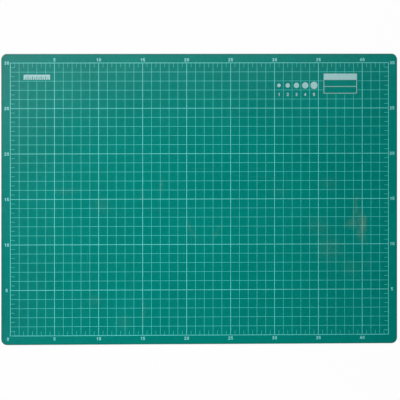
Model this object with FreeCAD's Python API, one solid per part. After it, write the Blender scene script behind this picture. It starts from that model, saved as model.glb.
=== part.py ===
# Flexible self-healing cutting mat, lying flat.
# Three PVC plies are bonded into one sheet, and a ruled grid is printed on the upper one.
# Millimetres. +X runs right along the long side, +Y away from the user, +Z up.
# The origin is the middle of the underside.
import FreeCAD, Part
import math
import os

from FreeCAD import Vector

# Sheet
mat_length = 450.0
mat_width = 320.0
corner_radius = 6.5
edge_radius = 0.4
most_rounded = 0.9  # share of a ply's thickness that its rounded edge may take
same_level = 1e-6

# Plies, from the underside up
lower_thickness = 0.6
core_thickness = 0.8
upper_thickness = 0.6

# Ruled grid
ink_thickness = 0.03
cell = 10.0
bold_every = 5
least_margin = 10.0
frame_line = 0.6
bold_line = 0.58
fine_line = 0.4
tick_line = 0.35
tick_length = 5.0

# Numerals, drawn as with a round-nibbed pen
numeral_height = 3.6
numeral_width = 2.3
numeral_stroke = 0.75
numeral_space = 0.7
numeral_gap_ends = 1.3
numeral_gap_sides = 1.2

# Notched scale bar, upper left, ending short of the first bold line
bar_length = 30.0
bar_height = 5.6
bar_gap = 5.0
bar_drop = 12.8
notch_step = 2.5
notch_width = 0.7
notch_depth = 2.2
long_notch_depth = 3.6
long_notch_every = 2

# Blank name panel, upper right, midway between the last two bold lines
panel_length = 38.0
panel_height = 22.0
panel_header = 7.0
panel_line = 0.6
panel_drop = 12.0

# Dot gauge, left of the name panel
dot_sizes = 5
dot_first = 4.0
dot_step = 1.0
dot_rows_down = 2

# Bare strip between the lines and a bar or panel that interrupts them
print_clearance = 0.8

core_bottom = lower_thickness
upper_bottom = core_bottom + core_thickness
surface = upper_bottom + upper_thickness

columns = int((mat_length - 2 * least_margin) // cell)
rows = int((mat_width - 2 * least_margin) // cell)
grid_left = -columns * cell / 2
grid_right = columns * cell / 2
grid_front = -rows * cell / 2
grid_back = rows * cell / 2

block = bold_every * cell
first_bold = grid_left + block
last_bold = grid_left + (columns - 1) // bold_every * block

bar_right = first_bold - bar_gap
bar_left = bar_right - bar_length
bar_back = grid_back - bar_drop
bar_front = bar_back - bar_height

panel_left = last_bold - (block + panel_length) / 2
panel_right = panel_left + panel_length
panel_back = grid_back - panel_drop
panel_front = panel_back - panel_height


def ply(bottom, thickness):
    """A plate with the sheet's outline."""
    corner = Vector(-mat_length / 2, -mat_width / 2, bottom)
    plate = Part.makeBox(mat_length, mat_width, thickness, corner)
    upright = [edge for edge in plate.Edges if edge.BoundBox.ZLength > thickness / 2]
    return plate.makeFillet(corner_radius, upright)


def rounded_rim(plate, level):
    """The plate with its outer edge at one level rounded, no further than its thickness allows."""
    rim = []
    for edge in plate.Edges:
        box = edge.BoundBox
        if max(abs(box.ZMin - level), abs(box.ZMax - level)) < same_level:
            rim.append(edge)
    return plate.makeFillet(min(edge_radius, most_rounded * plate.BoundBox.ZLength), rim)


def film(left, front, right, back):
    """A rectangle of printed ink on the cutting surface."""
    return Part.makeBox(right - left, back - front, ink_thickness, Vector(left, front, surface))


def joined(solids):
    """Touching or crossing films as one solid."""
    return solids[0].multiFuse(solids[1:]).removeSplitter()


def polygon(corners):
    """A closed outline on the cutting surface."""
    points = [Vector(x, y, surface) for x, y in corners]
    return Part.makePolygon(points + points[:1])


def net(left, front, right, back, across, along, width):
    """Crossing lines that fill a rectangle: across holds their X places, along their Y places."""
    half = width / 2
    if not across or not along:
        lines = [film(x - half, front, x + half, back) for x in across]
        return lines + [film(left, y - half, right, y + half) for y in along]
    near, far = along[0] - half, along[-1] + half
    west, east = across[0] - half, across[-1] + half
    outline = []
    for x in across:
        outline += [(x - half, near), (x - half, front), (x + half, front), (x + half, near)]
    for y in along:
        outline += [(east, y - half), (right, y - half), (right, y + half), (east, y + half)]
    for x in reversed(across):
        outline += [(x + half, far), (x + half, back), (x - half, back), (x - half, far)]
    for y in reversed(along):
        outline += [(west, y + half), (left, y + half), (left, y - half), (west, y - half)]
    corners = [point for point, after in zip(outline, outline[1:] + outline[:1]) if point != after]
    wires = [polygon(corners)]
    for x, next_x in zip(across, across[1:]):
        for y, next_y in zip(along, along[1:]):
            low_x, high_x, low_y, high_y = x + half, next_x - half, y + half, next_y - half
            wires.append(polygon([(low_x, low_y), (high_x, low_y), (high_x, high_y), (low_x, high_y)]))
    return [Part.makeFace(wires, "Part::FaceMakerBullseye").extrude(Vector(0, 0, ink_thickness))]


def interrupted(lines):
    """The lines without what would run into the scale bar or the name panel."""
    gaps = [
        film(bar_left - print_clearance, bar_front - print_clearance,
             bar_right + print_clearance, bar_back + print_clearance),
        film(panel_left - print_clearance, panel_front - print_clearance,
             panel_right + print_clearance, panel_back + print_clearance),
    ]
    kept = []
    for line in lines:
        met = [gap for gap in gaps if gap.BoundBox.intersect(line.BoundBox)]
        kept += line.cut(met).Solids if met else [line]
    return kept


def bold_places(start, cells):
    """Where the bold lines lie along one side of the grid."""
    return [start + i * cell for i in range(bold_every, cells, bold_every)]


def blocks(start, cells):
    """The stretches between bold lines along one side: low end, high end and the fine lines' places."""
    stretches = []
    for first in range(0, cells, bold_every):
        last = min(first + bold_every, cells)
        low_line = frame_line if first == 0 else bold_line
        high_line = frame_line if last == cells else bold_line
        low = start + first * cell + low_line / 2
        high = start + last * cell - high_line / 2
        stretches.append((low, high, [start + i * cell for i in range(first + 1, last)]))
    return stretches


def frame_rule():
    half = frame_line / 2
    outer = film(grid_left - half, grid_front - half, grid_right + half, grid_back + half)
    inner = film(grid_left + half, grid_front + half, grid_right - half, grid_back - half)
    return [outer.cut(inner)]


def bold_lines():
    half = frame_line / 2
    lines = net(grid_left + half, grid_front + half, grid_right - half, grid_back - half,
                bold_places(grid_left, columns), bold_places(grid_front, rows), bold_line)
    return interrupted(lines)


def fine_lines():
    lines = []
    for left, right, across in blocks(grid_left, columns):
        for front, back, along in blocks(grid_front, rows):
            lines += net(left, front, right, back, across, along, fine_line)
    return interrupted(lines)


def end_ticks(frame_place, inward):
    """Ticks at half cells along the front or back of the frame."""
    root = frame_place + inward * frame_line / 2
    tip = frame_place + inward * tick_length
    ticks = []
    for i in range(columns):
        x = grid_left + (i + 0.5) * cell
        ticks.append(film(x - tick_line / 2, min(root, tip), x + tick_line / 2, max(root, tip)))
    return ticks


def side_ticks(frame_place, inward, end_marks):
    """Ticks at half cells along the left or right of the frame, cut where they would meet an end tick."""
    root = frame_place + inward * frame_line / 2
    tip = frame_place + inward * tick_length
    ticks = []
    for i in range(rows):
        y = grid_front + (i + 0.5) * cell
        tick = film(min(root, tip), y - tick_line / 2, max(root, tip), y + tick_line / 2)
        met = [mark for mark in end_marks if mark.BoundBox.intersect(tick.BoundBox)]
        ticks += tick.cut(met).Solids if met else [tick]
    return ticks


def on_circle(centre, radius, angle):
    turn = math.radians(angle)
    return centre + Vector(radius * math.cos(turn), radius * math.sin(turn), 0)


def pen_line(x0, y0, x1, y1):
    """A straight stroke with round ends."""
    start = Vector(x0, y0, 0)
    end = Vector(x1, y1, 0)
    along = (end - start).normalize() * (numeral_stroke / 2)
    aside = Vector(-along.y, along.x, 0)
    edges = [
        Part.LineSegment(start - aside, end - aside).toShape(),
        Part.Arc(end - aside, end + along, end + aside).toShape(),
        Part.LineSegment(end + aside, start + aside).toShape(),
        Part.Arc(start + aside, start - along, start - aside).toShape(),
    ]
    return Part.Face(Part.Wire(edges)).extrude(Vector(0, 0, ink_thickness))


def pen_arc(x, y, radius, start, end):
    """A round stroke with round ends, anticlockwise between two angles in degrees."""
    centre = Vector(x, y, 0)
    half = numeral_stroke / 2
    middle = (start + end) / 2
    outer = [on_circle(centre, radius + half, angle) for angle in (start, middle, end)]
    inner = [on_circle(centre, radius - half, angle) for angle in (end, middle, start)]
    end_tip = on_circle(on_circle(centre, radius, end), half, end + 90)
    start_tip = on_circle(on_circle(centre, radius, start), half, start - 90)
    edges = [
        Part.Arc(*outer).toShape(),
        Part.Arc(outer[2], end_tip, inner[0]).toShape(),
        Part.Arc(*inner).toShape(),
        Part.Arc(inner[2], start_tip, outer[0]).toShape(),
    ]
    return Part.Face(Part.Wire(edges)).extrude(Vector(0, 0, ink_thickness))


def pen_digits():
    """The ten digits, each centred on the origin: a and b are half the width and height of the pen's path."""
    a = (numeral_width - numeral_stroke) / 2
    b = (numeral_height - numeral_stroke) / 2
    rise = b - a
    bowl = b / 2
    strokes = {
        "0": [pen_line(-a, -rise, -a, rise), pen_line(a, -rise, a, rise),
              pen_arc(0, rise, a, 0, 180), pen_arc(0, -rise, a, 180, 360)],
        "1": [pen_line(a / 2, -b, a / 2, b), pen_line(a / 2, b, -a / 2, rise)],
        "2": [pen_arc(0, rise, a, -30, 170), pen_line(-a, -b, a, -b),
              pen_line(-a, -b, a * math.cos(math.radians(30)), rise - a / 2)],
        "3": [pen_arc(0, bowl, bowl, -90, 150), pen_arc(0, -bowl, bowl, -150, 90)],
        "4": [pen_line(a / 2, -b, a / 2, b), pen_line(a / 2, b, -a, -bowl), pen_line(-a, -bowl, a, -bowl)],
        "5": [pen_line(-a, b, a, b), pen_line(-a, b, -a, 0), pen_line(-a, 0, 0, a - rise),
              pen_arc(0, -rise, a, -150, 90)],
        "6": [pen_arc(0, -rise, a, 0, 180), pen_arc(0, -rise, a, 180, 360),
              pen_line(-a, -rise, -a, rise), pen_arc(0, rise, a, 40, 180)],
        "7": [pen_line(-a, b, a, b), pen_line(a, b, -a / 2, -b)],
        "8": [pen_arc(0, place, bowl, start, start + 180) for place in (bowl, -bowl) for start in (0, 180)],
        "9": [pen_arc(0, rise, a, 0, 180), pen_arc(0, rise, a, 180, 360),
              pen_line(a, -rise, a, rise), pen_arc(0, -rise, a, 220, 360)],
    }
    return {digit: joined(marks) for digit, marks in strokes.items()}


digits = pen_digits()


def number(value, x, y):
    """A number's digits side by side, centred on a point of the cutting surface."""
    text = str(value)
    pitch = numeral_width + numeral_space
    first = x - (len(text) - 1) * pitch / 2
    return [digits[mark].translated(Vector(first + i * pitch, y, surface)) for i, mark in enumerate(text)]


def end_numerals(y):
    """Numbers of the bold lines along the front or back."""
    marks = []
    for i in range(bold_every, columns, bold_every):
        marks += number(i, grid_left + i * cell, y)
    return marks


def side_numerals(x):
    """Numbers of the bold lines along the left or right, the frame's back rule among them."""
    marks = []
    for i in range(bold_every, rows + 1, bold_every):
        marks += number(i, x, grid_front + i * cell)
    return marks


def scale_bar():
    """A solid bar with notches in its front edge, every second one longer."""
    notches = []
    for i in range(1, math.ceil(bar_length / notch_step)):
        x = bar_left + i * notch_step
        depth = notch_depth if i % long_notch_every else long_notch_depth
        notches.append(film(x - notch_width / 2, bar_front, x + notch_width / 2, bar_front + depth))
    return [film(bar_left, bar_front, bar_right, bar_back).cut(notches)]


def name_panel():
    """A solid header over two blank lines to write on."""
    opening = (panel_height - panel_header - 2 * panel_line) / 2
    lower_front = panel_front + panel_line
    upper_front = lower_front + opening + panel_line
    blanks = [
        film(panel_left + panel_line, front, panel_right - panel_line, front + opening)
        for front in (lower_front, upper_front)
    ]
    return [film(panel_left, panel_front, panel_right, panel_back).cut(blanks)]


def dot_gauge():
    """Round dots of rising size, each in its own cell, with its place in the row below it."""
    last_column = int((panel_left - print_clearance - grid_left) // cell)
    dot_place = grid_back - (dot_rows_down + 0.5) * cell
    marks = []
    for i in range(dot_sizes):
        diameter = dot_first + i * dot_step
        x = grid_left + (last_column - dot_sizes + i + 0.5) * cell
        marks.append(Part.makeCylinder(diameter / 2, ink_thickness, Vector(x, dot_place, surface)))
        marks += number(i + 1, x, dot_place - cell)
    return marks


end_offset = frame_line / 2 + numeral_gap_ends + numeral_height / 2
zero_offset = frame_line / 2 + numeral_gap_sides + numeral_width / 2
side_offset = zero_offset + (numeral_width + numeral_space) / 2

ticks_front = end_ticks(grid_front, 1)
ticks_back = end_ticks(grid_back, -1)
end_marks = ticks_front + ticks_back
zero = number(0, grid_left - zero_offset, grid_front - end_offset)

nodes = {
    "lower_ply": [rounded_rim(ply(0, lower_thickness), 0)],
    "core_ply": [ply(core_bottom, core_thickness)],
    "upper_ply": [rounded_rim(ply(upper_bottom, upper_thickness), surface)],
    "print_frame_rule": frame_rule(),
    "print_bold_lines": bold_lines(),
    "print_fine_lines": fine_lines(),
    "print_ticks_front": ticks_front,
    "print_ticks_back": ticks_back,
    "print_ticks_left": side_ticks(grid_left, 1, end_marks),
    "print_ticks_right": side_ticks(grid_right, -1, end_marks),
    "print_numerals_front": zero + end_numerals(grid_front - end_offset),
    "print_numerals_back": end_numerals(grid_back + end_offset),
    "print_numerals_left": side_numerals(grid_left - side_offset),
    "print_numerals_right": side_numerals(grid_right + side_offset),
    "print_scale_bar": scale_bar(),
    "print_name_panel": name_panel(),
    "print_dot_gauge": dot_gauge(),
}

os.makedirs("parts", exist_ok=True)
for node, solids in nodes.items():
    shape = solids[0] if len(solids) == 1 else Part.makeCompound(solids)
    shape.exportStep(f"parts/{node}.step")
    print(node, len(shape.Solids), "solids", round(shape.Volume, 3), "mm3")
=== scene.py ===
"""Flexible self-healing cutting mat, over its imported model: sheets, print, wear, studio and camera."""

import math
import random

import bmesh
import bpy
from mathutils import Matrix, Vector


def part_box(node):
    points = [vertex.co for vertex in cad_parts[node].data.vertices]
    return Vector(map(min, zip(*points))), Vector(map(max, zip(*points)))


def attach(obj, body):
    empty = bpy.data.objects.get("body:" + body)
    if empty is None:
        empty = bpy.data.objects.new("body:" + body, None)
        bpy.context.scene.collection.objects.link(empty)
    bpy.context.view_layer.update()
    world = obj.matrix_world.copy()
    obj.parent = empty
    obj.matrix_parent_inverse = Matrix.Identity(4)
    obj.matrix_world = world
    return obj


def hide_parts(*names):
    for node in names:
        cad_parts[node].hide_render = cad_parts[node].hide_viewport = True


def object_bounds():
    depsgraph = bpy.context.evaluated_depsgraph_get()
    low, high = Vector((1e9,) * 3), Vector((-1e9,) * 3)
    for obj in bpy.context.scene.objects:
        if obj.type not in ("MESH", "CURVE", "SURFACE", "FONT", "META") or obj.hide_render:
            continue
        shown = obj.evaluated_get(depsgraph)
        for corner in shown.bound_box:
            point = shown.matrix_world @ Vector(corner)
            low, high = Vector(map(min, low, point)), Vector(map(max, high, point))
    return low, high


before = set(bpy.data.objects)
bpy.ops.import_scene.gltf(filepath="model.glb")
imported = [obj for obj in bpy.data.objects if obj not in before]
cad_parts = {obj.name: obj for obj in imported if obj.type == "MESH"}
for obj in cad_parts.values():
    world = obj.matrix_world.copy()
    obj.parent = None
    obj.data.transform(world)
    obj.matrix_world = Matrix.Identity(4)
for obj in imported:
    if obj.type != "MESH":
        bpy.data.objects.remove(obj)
cad_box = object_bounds()

MM = 0.001

# Die-cut sheet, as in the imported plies
MAT_LENGTH = cad_box[1].x - cad_box[0].x
MAT_WIDTH = cad_box[1].y - cad_box[0].y
FACE_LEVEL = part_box("upper_ply")[1].z
BACK_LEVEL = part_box("lower_ply")[0].z
CORNER_RADIUS = 6.5 * MM
CORNER_STEPS = 16
EDGE_RADIUS = 0.4 * MM
EDGE_STEPS = 4
SAME_PLACE = 0.001 * MM
SMOOTH_ANGLE = math.radians(40)

# Camera: the photograph shows the mat's length shorter, against its width, by 3%. A camera straight above
# can't show that, so it stands far off and leans to the left until the length is foreshortened as much.
# The small tilt turns the mat's edges in the picture nearly as far as the photograph's
CAMERA_DISTANCE = 20.0
CAMERA_LEAN = math.radians(14.33)
CAMERA_TILT = math.radians(-0.67)
CAMERA_AIM = Vector((0.65 * MM, -1.15 * MM, 0.0))
CAMERA_REACH = 200.0
PICTURE_WIDTH = 440.8 * MM
SENSOR_MM = 36.0

# Softboxes: name, place, point on the floor that each one faces, brightness
SOFTBOX_SIDE = 0.5
SOFTBOXES = (
    ("softbox_front", (-0.2, -0.34, 0.55), (2.35, -0.93, 0.0), 2.37),
    ("softbox_left", (-0.32, 0.05, 0.54), (0.17, -0.53, 0.0), 4.11),
    ("softbox_back", (0.1, 0.35, 0.6), (0.05, 0.8, 0.0), 2.04),
)

# Room and floor
ROOM_BRIGHTNESS = 0.72
ROOM_WALLS = "#FFFFFF"
ROOM_CEILING = "#202020"
FLOOR_SIDE = 24.0
PAPER = "#F4F4F4"
PAPER_GLOW = 0.95
PURE_WHITE = "#FFFFFF"

# Soft PVC: two greens that cloud into each other, and two bands along the rim, each a width and a
# colour. The wider band is painted shade, darker towards the cut edge; the narrow one over the rolled edge
# is a painted sheen, paler
PVC_DEEP = "#007A70"
PVC_PALE = "#00867B"
RIM_SHADE_AND_SHEEN = ((2.0 * MM, "#0A473F"), (0.6 * MM, "#7CC4BB"))
RUBBED_DULLNESS = 0.3

# Hard PVC of the core, and the size of the streaks in its cut edge
CORE_DEEP = "#1F4F4A"
CORE_PALE = "#3C706A"
STREAK_LENGTH = 6 * MM
STREAK_HEIGHT = 0.12 * MM

# Dust rubbed into the face, in millimetres from the mat's middle:
# right, back, half length, half width, turn in degrees, strength
DUST_MARKS = (
    (187, -28, 9, 3, 90, 2.4),
    (184, -31, 19, 6.5, 93, 1.1),
    (174, -27, 9, 7, 0, 0.85),
    (178, -9, 18, 3, 90, 0.75),
    (136, -31, 16, 11, -20, 0.28),
    (147, -55, 18, 17, 0, 0.36),
    (171, -77, 12, 11, -30, 0.28),
    (191, -72, 8, 7, 0, 0.18),
    (147, 16, 13, 9, 0, 0.2),
    (90, 8, 10, 7, 0, 0.18),
    (-9, -36, 15, 3, -58, 0.45),
    (19, -37, 13, 3, 58, 0.3),
    (-44, 17, 13, 2.5, 90, 0.45),
    (-111, -7, 12, 10, 0, 0.26),
    (-153, 9, 17, 4, 0, 0.25),
    (-65, 2, 12, 3, 90, 0.25),
    (-87, -136, 10, 9, 0, 0.2),
    (-64, -124, 16, 2.5, 90, 0.3),
    (-119, -111, 8, 7, 0, 0.25),
)
DUST = "#E2C6A2"
DUST_DRIFT = 9 * MM
DUST_CRUMB = 3 * MM
DUST_ON_PVC = 0.05
DUST_ON_INK = 0.3
DUST_DULLNESS = 0.12

# Healed knife cuts, mostly along the ruled lines, where a blade follows a straight edge. Their turns, and
# how far they stray from them, are in degrees
SCAR_COUNT = 36
SCAR_SEED = 11
SCAR_TURNS = (0, 90, 90, 90)
SCAR_STRAY = 2.5
SCAR_LENGTHS = (14 * MM, 70 * MM)
SCAR_WIDTHS = (0.16 * MM, 0.32 * MM)
SCAR_BORDER = 14 * MM
SCAR_HEIGHT = 0.034 * MM
SCAR_SINK = 0.01 * MM
SCAR_SIDES = 14
SCAR_TOP = (0.9, 0.55, 1.0)
SCAR_CLEAN = "#2B8F84"
SCAR_DIRTY = "#2A6F62"

# Print, by how much ink its marks carry: the finer a mark, the more green shows through
FINE_PRINT = (
    "print_fine_lines",
    "print_ticks_front",
    "print_ticks_back",
    "print_ticks_left",
    "print_ticks_right",
)
RULED_PRINT = ("print_bold_lines", "print_frame_rule")
SOLID_PRINT = ("print_scale_bar", "print_name_panel", "print_dot_gauge")
NUMERAL_PRINT = (
    "print_numerals_front",
    "print_numerals_back",
    "print_numerals_left",
    "print_numerals_right",
)


def linear(code):
    """An sRGB hex colour as linear red, green, blue and alpha."""
    shares = [int(code[i:i + 2], 16) / 255 for i in (1, 3, 5)]
    return [s / 12.92 if s <= 0.04045 else ((s + 0.055) / 1.055) ** 2.4 for s in shares] + [1.0]


def add(tree, kind, inputs=None, **settings):
    """A node with its settings. An input is a value, or another node's output to link."""
    made = tree.nodes.new(kind)
    for name, value in settings.items():
        setattr(made, name, value)
    for socket, value in (inputs or {}).items():
        if isinstance(value, bpy.types.NodeSocket):
            tree.links.new(value, made.inputs[socket])
        else:
            made.inputs[socket].default_value = value
    return made


def noise(tree, place, size, detail):
    """Soft noise whose largest forms are about one size across."""
    made = add(tree, "ShaderNodeTexNoise", {"Vector": place, "Scale": 1 / size, "Detail": detail})
    return made.outputs["Fac"]


def calculate(tree, operation, *values):
    """One step of arithmetic."""
    return add(tree, "ShaderNodeMath", dict(enumerate(values)), operation=operation).outputs[0]


def calculate_vector(tree, operation, *values):
    """One step of vector arithmetic. A length comes out as a number."""
    made = add(tree, "ShaderNodeVectorMath", dict(enumerate(values)), operation=operation)
    return made.outputs["Value" if operation == "LENGTH" else "Vector"]


def blend(tree, share, first, second, **settings):
    """A colour with a share of a second one mixed in."""
    made = add(tree, "ShaderNodeMix", {
        "Factor": share, "A": first, "B": second}, data_type="RGBA", **settings)
    return made.outputs["Result"]


def new_material(name):
    """A material that has no nodes yet, and its tree."""
    material = bpy.data.materials.new(name)
    material.use_nodes = True
    material.node_tree.nodes.clear()
    return material, material.node_tree


def object_place(tree):
    """What a piece's patterns read their place from."""
    return add(tree, "ShaderNodeTexCoord").outputs["Object"]


def set_surface(tree, inputs):
    """Ends a material's tree in one surface."""
    surface = add(tree, "ShaderNodeBsdfPrincipled", inputs)
    add(tree, "ShaderNodeOutputMaterial", {"Surface": surface.outputs["BSDF"]})


def dust_mask(tree, place):
    """Soft ovals with ragged, broken edges, one for each mark of dust."""
    drift = add(tree, "ShaderNodeTexNoise", {"Vector": place, "Scale": 1 / DUST_DRIFT, "Detail": 3.0})
    stray = calculate_vector(tree, "SUBTRACT", drift.outputs["Color"], (0.5, 0.5, 0.5))
    ragged = calculate_vector(tree, "MULTIPLY_ADD", stray, (DUST_DRIFT, DUST_DRIFT, 0.0), place)
    total = 0.0
    for right, back, half_length, half_width, turn, strength in DUST_MARKS:
        oval = add(tree, "ShaderNodeMapping", {
            "Vector": ragged,
            "Location": (right * MM, back * MM, 0.0),
            "Rotation": (0.0, 0.0, math.radians(turn)),
            "Scale": (half_length * MM, half_width * MM, 1.0)}, vector_type="TEXTURE")
        reach = calculate_vector(tree, "LENGTH", oval.outputs[0])
        mark = add(tree, "ShaderNodeMapRange", {
            "Value": reach, "From Min": 1.4, "From Max": -0.2, "To Max": strength},
            interpolation_type="SMOOTHSTEP")
        total = calculate(tree, "MAXIMUM", total, mark.outputs[0])
    crumbs = noise(tree, place, DUST_CRUMB, 4.0)
    broken = add(tree, "ShaderNodeMapRange", {
        "Value": crumbs, "From Min": 0.3, "From Max": 0.6, "To Min": 0.65})
    return calculate(tree, "MULTIPLY", total, broken.outputs[0])


def way_in(tree, place):
    """How far a point of the rim lies in from the cut edge, round the corners too, whatever its height."""
    any_height = 1.0
    straight = (MAT_LENGTH / 2 - CORNER_RADIUS, MAT_WIDTH / 2 - CORNER_RADIUS, any_height)
    folded = calculate_vector(tree, "ABSOLUTE", place)
    beyond = calculate_vector(tree, "SUBTRACT", folded, straight)
    outward = calculate_vector(tree, "MAXIMUM", beyond, (0.0, 0.0, 0.0))
    reach = calculate_vector(tree, "LENGTH", outward)
    return calculate(tree, "SUBTRACT", CORNER_RADIUS, reach)


def pressed_grain(tree, place):
    """The pebbled grain of the calender roll, over the slow waves of a sheet that never lies quite flat.
    The real grain is about 0.4 mm; it is drawn at twice that, so that it shows."""
    swell = noise(tree, place, 110 * MM, 1.0)
    waves = add(tree, "ShaderNodeBump", {"Height": swell, "Strength": 1.0, "Distance": 0.5 * MM})
    pebbles = noise(tree, place, 0.8 * MM, 2.0)
    grain = add(tree, "ShaderNodeBump", {
        "Height": pebbles, "Strength": 1.0, "Distance": 0.07 * MM, "Normal": waves.outputs[0]})
    return grain.outputs[0]


def soft_pvc(name, worn):
    """Calendered soft PVC: matte blue-green, cloudy by a few shades, with a fine pebbled grain.
    Its rim carries painted shade, darker towards the cut edge, and a painted sheen, paler and duller, over
    the rolled edge; a worn face holds pale dust."""
    material, tree = new_material(name)
    place = object_place(tree)
    clouds = noise(tree, place, 70 * MM, 3.0)
    cloudy = blend(tree, clouds, linear(PVC_DEEP), linear(PVC_PALE))
    flecks = noise(tree, place, 4 * MM, 3.0)
    shade = add(tree, "ShaderNodeMapRange", {
        "Value": flecks, "From Min": 0.3, "From Max": 0.7, "To Min": 0.95, "To Max": 1.05})
    colour = blend(tree, 1.0, cloudy, shade.outputs[0], blend_type="MULTIPLY")
    inset = way_in(tree, place)
    # Painted shade darkens the rim towards the cut edge, and a painted sheen lightens the rolled edge
    for width, tint in RIM_SHADE_AND_SHEEN:
        band = add(tree, "ShaderNodeMapRange", {
            "Value": inset, "From Min": width, "From Max": 0.0}, interpolation_type="SMOOTHSTEP")
        patchy = calculate(tree, "MULTIPLY", band.outputs[0], flecks)
        colour = blend(tree, patchy, colour, linear(tint))
    polish = noise(tree, place, 25 * MM, 3.0)
    dullness = add(tree, "ShaderNodeMapRange", {
        "Value": polish, "From Min": 0.3, "From Max": 0.7, "To Min": 0.2, "To Max": 0.25}).outputs[0]
    # The last band, the painted sheen over the rolled edge, is duller too
    dullness = calculate(tree, "MULTIPLY_ADD", patchy, RUBBED_DULLNESS, dullness)
    if worn:
        dust = dust_mask(tree, place)
        colour = blend(tree, calculate(tree, "MULTIPLY", dust, DUST_ON_PVC), colour, linear(DUST))
        dullness = calculate(tree, "MULTIPLY_ADD", dust, DUST_DULLNESS, dullness)
    set_surface(tree, {
        "Base Color": colour,
        "Roughness": dullness,
        "Normal": pressed_grain(tree, place),
        "IOR": 1.53,
        "Specular IOR Level": 0.19})
    return material


def hard_pvc():
    """Pressed hard PVC of the core, a darker grey-green band in the cut edge, dragged along by the die."""
    material, tree = new_material("pressed_hard_pvc")
    drag = add(tree, "ShaderNodeMapping", {
        "Vector": object_place(tree), "Scale": (1 / STREAK_LENGTH, 1 / STREAK_LENGTH, 1 / STREAK_HEIGHT)})
    streak = noise(tree, drag.outputs[0], 1.0, 3.0)
    dullness = add(tree, "ShaderNodeMapRange", {"Value": streak, "To Min": 0.4, "To Max": 0.65})
    cut = add(tree, "ShaderNodeBump", {"Height": streak, "Strength": 0.6, "Distance": 0.05 * MM})
    set_surface(tree, {
        "Base Color": blend(tree, streak, linear(CORE_DEEP), linear(CORE_PALE)),
        "Roughness": dullness.outputs[0],
        "Normal": cut.outputs[0],
        "IOR": 1.54})
    return material


def screen_ink(name, fresh, rubbed):
    """Screen-printed vinyl ink: pale, and it throws back more light than the grained sheet under it.
    It is rubbed thin in specks and patches where the green shows, and it holds the dust."""
    material, tree = new_material(name)
    place = object_place(tree)
    specks = add(tree, "ShaderNodeTexNoise", {
        "Vector": place, "Scale": 1 / (1.6 * MM), "Detail": 4.0, "Roughness": 0.6})
    patches = noise(tree, place, 30 * MM, 2.0)
    rubbing = calculate(tree, "ADD", specks.outputs["Fac"], patches)
    wear = add(tree, "ShaderNodeMapRange", {
        "Value": rubbing, "From Min": 1.05, "From Max": 1.35}).outputs[0]
    colour = blend(tree, wear, linear(fresh), linear(rubbed))
    share = calculate(tree, "MULTIPLY", dust_mask(tree, place), DUST_ON_INK)
    dullness = add(tree, "ShaderNodeMapRange", {"Value": wear, "To Min": 0.26, "To Max": 0.34})
    set_surface(tree, {
        "Base Color": blend(tree, share, colour, linear(DUST)),
        "Roughness": dullness.outputs[0],
        "Normal": pressed_grain(tree, place)})
    return material


def healed_pvc():
    """Soft PVC that closed again after a cut: a faint, dull line, a little paler and dirty in places."""
    material, tree = new_material("healed_soft_pvc")
    grime = noise(tree, object_place(tree), 14 * MM, 3.0)
    dirty = add(tree, "ShaderNodeMapRange", {
        "Value": grime, "From Min": 0.4, "From Max": 0.65}).outputs[0]
    dullness = add(tree, "ShaderNodeMapRange", {"Value": dirty, "To Min": 0.45, "To Max": 0.6})
    set_surface(tree, {
        "Base Color": blend(tree, dirty, linear(SCAR_CLEAN), linear(SCAR_DIRTY)),
        "Roughness": dullness.outputs[0],
        "Specular IOR Level": 0.13})
    return material


def white_paper():
    """Matte white paper sweep: the camera sees it near pure white, with the mat's shadow left in."""
    material, tree = new_material("white_paper_sweep")
    path = add(tree, "ShaderNodeLightPath")
    seen = 0.0
    for ray in ("Is Camera Ray", "Is Glossy Ray", "Is Transmission Ray"):
        seen = calculate(tree, "MAXIMUM", seen, path.outputs[ray])
    paper = add(tree, "ShaderNodeBsdfDiffuse", {"Color": linear(PAPER)})
    glow = add(tree, "ShaderNodeEmission", {"Color": linear(PURE_WHITE), "Strength": 1.0})
    mixed = add(tree, "ShaderNodeMixShader", {
        "Fac": calculate(tree, "MULTIPLY", seen, PAPER_GLOW),
        1: paper.outputs["BSDF"],
        2: glow.outputs["Emission"]})
    add(tree, "ShaderNodeOutputMaterial", {"Surface": mixed.outputs["Shader"]})
    return material


def start_piece(name):
    """The primitive that was just added, named, with its place and size in its mesh."""
    piece = bpy.context.object
    piece.name = name
    bpy.ops.object.transform_apply(location=True, rotation=True, scale=True)
    return piece


def select_edges(piece, wanted):
    """In edit mode, selects the edges whose two ends meet a condition."""
    mesh = bmesh.from_edit_mesh(piece.data)
    bpy.ops.mesh.select_all(action="DESELECT")
    for edge in mesh.edges:
        edge.select_set(wanted(edge.verts[0].co, edge.verts[1].co))
    bmesh.update_edit_mesh(piece.data)


def die_cut_sheet(name, node, rolled_level):
    """A ply cut from a sheet: round corners, and an outer edge that the die has rolled over at one level."""
    low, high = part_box(node)
    bpy.ops.object.select_all(action="DESELECT")
    bpy.ops.mesh.primitive_cube_add(size=1.0, location=(low + high) / 2, scale=high - low)
    sheet = start_piece(name)
    bpy.ops.object.mode_set(mode="EDIT")
    bpy.ops.mesh.select_mode(type="EDGE")
    select_edges(sheet, lambda a, b: abs(a.z - b.z) > SAME_PLACE)
    bpy.ops.mesh.bevel(offset=CORNER_RADIUS, segments=CORNER_STEPS, affect="EDGES")
    if rolled_level is not None:
        select_edges(sheet, lambda a, b: max(abs(a.z - rolled_level), abs(b.z - rolled_level)) < SAME_PLACE)
        bpy.ops.mesh.bevel(offset=EDGE_RADIUS, segments=EDGE_STEPS, affect="EDGES")
    bpy.ops.object.mode_set(mode="OBJECT")
    bpy.ops.object.shade_smooth_by_angle(angle=SMOOTH_ANGLE)
    bpy.ops.object.modifier_add(type="WEIGHTED_NORMAL")
    sheet.modifiers[-1].keep_sharp = True
    bpy.ops.object.modifier_apply(modifier=sheet.modifiers[-1].name)
    return sheet


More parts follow.
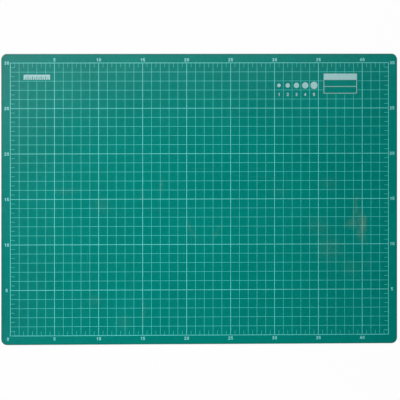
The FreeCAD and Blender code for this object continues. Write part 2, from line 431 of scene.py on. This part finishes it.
def knife_scar():
    """One healed cut, a unit long and wide: pointed at both ends, with its lips drawn in towards the top."""
    bpy.ops.object.select_all(action="DESELECT")
    bpy.ops.mesh.primitive_circle_add(vertices=SCAR_SIDES, radius=0.5, fill_type="NGON")
    scar = start_piece("knife_scar")
    bpy.ops.object.mode_set(mode="EDIT")
    bpy.ops.mesh.select_all(action="SELECT")
    bpy.ops.mesh.extrude_region_move(TRANSFORM_OT_translate={"value": (0, 0, 1.0)})
    bpy.ops.transform.resize(value=SCAR_TOP)
    bpy.ops.mesh.select_all(action="SELECT")
    bpy.ops.mesh.normals_make_consistent(inside=False)
    bpy.ops.object.mode_set(mode="OBJECT")
    return scar


def knife_scars():
    """All the healed cuts as one piece, each whole on the face and clear of its rim."""
    chance = random.Random(SCAR_SEED)
    pattern = knife_scar()
    scars = []
    for _ in range(SCAR_COUNT):
        scar = pattern.copy()
        scar.data = pattern.data.copy()
        turn = math.radians(chance.choice(SCAR_TURNS) + chance.gauss(0, SCAR_STRAY))
        length = chance.uniform(*SCAR_LENGTHS)
        width = chance.uniform(*SCAR_WIDTHS)
        room_right = MAT_LENGTH / 2 - SCAR_BORDER - abs(math.cos(turn)) * length / 2
        room_back = MAT_WIDTH / 2 - SCAR_BORDER - abs(math.sin(turn)) * length / 2
        middle = Vector((
            chance.uniform(-room_right, room_right),
            chance.uniform(-room_back, room_back),
            FACE_LEVEL - SCAR_SINK))
        scar.data.transform(
            Matrix.Translation(middle) @ Matrix.Rotation(turn, 4, "Z")
            @ Matrix.Diagonal((length, width, SCAR_HEIGHT + SCAR_SINK, 1)))
        bpy.context.collection.objects.link(scar)
        scars.append(scar)
    bpy.data.objects.remove(pattern)
    bpy.ops.object.select_all(action="DESELECT")
    for scar in scars:
        scar.select_set(True)
    bpy.context.view_layer.objects.active = scars[0]
    bpy.ops.object.join()
    scars[0].name = "knife_scars"
    return scars[0]


def dress(piece, material):
    """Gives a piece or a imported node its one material."""
    piece.data.materials.clear()
    piece.data.materials.append(material)


def lay_floor():
    """A sweep of paper wide enough to fill the picture."""
    bpy.ops.object.select_all(action="DESELECT")
    bpy.ops.mesh.primitive_plane_add(size=FLOOR_SIDE)
    floor = start_piece("floor")
    dress(floor, white_paper())


def hang_softbox(name, place, aim, brightness):
    """A square softbox at one place, turned to face a point on the floor."""
    lamp = bpy.data.lights.new(name, "AREA")
    lamp.shape = "SQUARE"
    lamp.size = SOFTBOX_SIDE
    lamp.energy = brightness * math.pi * SOFTBOX_SIDE ** 2
    hung = bpy.data.objects.new(name, lamp)
    hung.location = place
    hung.rotation_euler = (Vector(aim) - Vector(place)).to_track_quat("-Z", "Y").to_euler()
    bpy.context.scene.collection.objects.link(hung)


def light_studio():
    """Softboxes above the mat, each feathered across it, in a room with pale walls and a dark ceiling.
    The camera itself sees a white backdrop behind the floor."""
    for softbox in SOFTBOXES:
        hang_softbox(*softbox)
    world = bpy.data.worlds.new("studio_room")
    bpy.context.scene.world = world
    world.use_nodes = True
    tree = world.node_tree
    tree.nodes.clear()
    way = add(tree, "ShaderNodeTexCoord").outputs["Generated"]
    height = add(tree, "ShaderNodeSeparateXYZ", {"Vector": way}).outputs["Z"]
    overhead = add(tree, "ShaderNodeMapRange", {"Value": height, "From Min": 0.3, "From Max": 0.7})
    colour = blend(tree, overhead.outputs[0], linear(ROOM_WALLS), linear(ROOM_CEILING))
    room = add(tree, "ShaderNodeBackground", {"Color": colour, "Strength": ROOM_BRIGHTNESS})
    backdrop = add(tree, "ShaderNodeBackground", {"Color": linear(PURE_WHITE), "Strength": 1.0})
    path = add(tree, "ShaderNodeLightPath")
    seen = add(tree, "ShaderNodeMixShader", {
        "Fac": path.outputs["Is Camera Ray"],
        1: room.outputs["Background"],
        2: backdrop.outputs["Background"]})
    add(tree, "ShaderNodeOutputWorld", {"Surface": seen.outputs["Shader"]})


def place_camera():
    """A far camera with a long lens, leaning, and aimed at the floor near the mat's middle."""
    lens = bpy.data.cameras.new("camera")
    lens.sensor_width = SENSOR_MM
    lens.lens = SENSOR_MM * CAMERA_DISTANCE / PICTURE_WIDTH
    lens.clip_end = CAMERA_REACH
    camera = bpy.data.objects.new("camera", lens)
    camera.rotation_euler = (CAMERA_TILT, -CAMERA_LEAN, 0.0)
    away = camera.rotation_euler.to_matrix() @ Vector((0.0, 0.0, CAMERA_DISTANCE))
    camera.location = CAMERA_AIM + away
    bpy.context.scene.collection.objects.link(camera)
    bpy.context.scene.camera = camera


bpy.context.scene.view_settings.view_transform = "Standard"
place_camera()
light_studio()
lay_floor()

worn_face = soft_pvc("calendered_soft_pvc_face", True)
plain_back = soft_pvc("calendered_soft_pvc_back", False)
plies = (
    ("upper_sheet", "upper_ply", FACE_LEVEL, worn_face, "soft_pvc"),
    ("core_sheet", "core_ply", None, hard_pvc(), "hard_pvc"),
    ("lower_sheet", "lower_ply", BACK_LEVEL, plain_back, "soft_pvc"),
)
for name, node, rolled_level, material, slot in plies:
    sheet = die_cut_sheet(name, node, rolled_level)
    dress(sheet, material)
    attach(sheet, "root")
    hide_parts(node)

scars = knife_scars()
dress(scars, healed_pvc())
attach(scars, "root")

prints = (
    (FINE_PRINT, screen_ink("screen_ink_fine", "#52CFCA", "#36ABA4")),
    (RULED_PRINT, screen_ink("screen_ink_ruled", "#6ADCDA", "#4EBAB7")),
    (NUMERAL_PRINT, screen_ink("screen_ink_numerals", "#82D6D8", "#5ABCBA")),
    (SOLID_PRINT, screen_ink("screen_ink_solid", "#A2CECF", "#74BBB8")),
)
for names, ink in prints:
    for name in names:
        dress(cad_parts[name], ink)
